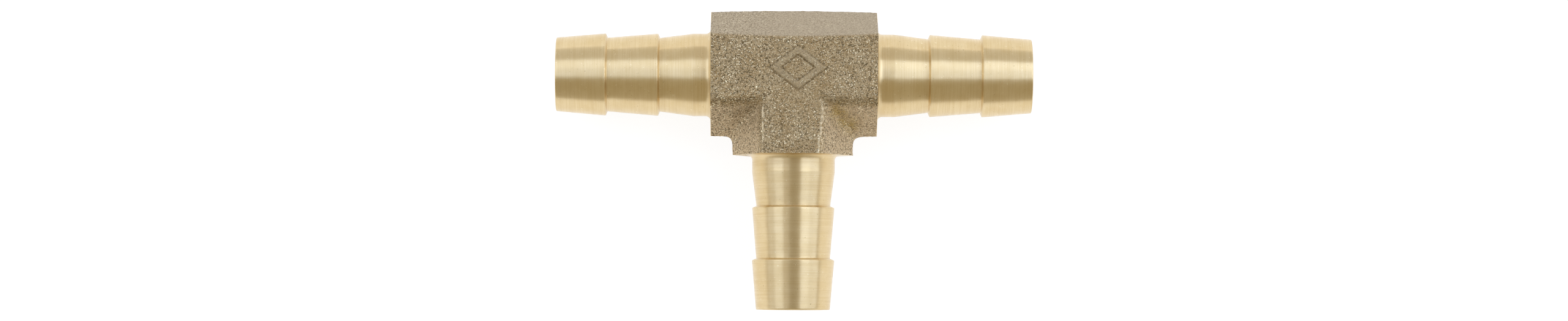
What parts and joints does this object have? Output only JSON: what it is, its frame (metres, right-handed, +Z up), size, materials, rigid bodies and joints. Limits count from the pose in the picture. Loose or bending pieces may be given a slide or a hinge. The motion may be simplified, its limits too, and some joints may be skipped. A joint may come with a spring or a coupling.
{
  "type": "barbed tee connector",
  "caption": "Hose tee with a hexagonal forged brass body and barbed, turned tails on the run and the branch.",
  "frame": {"origin": "the point where the run axis and the branch axis cross", "axes": "+X along the run, -Y along the branch, +Z up through the upper flat of the hexagon"},
  "size_m": [0.0636, 0.0396, 0.0145],
  "materials": {
    "forged_brass": "shot-blasted forging skin",
    "turned_brass": "bright turned"
  },
  "bodies": {
    "root": {"forged_body": "forged_brass", "run_tail_left": "turned_brass", "run_tail_right": "turned_brass", "branch_tail": "turned_brass"}
  },
  "joints": []
}
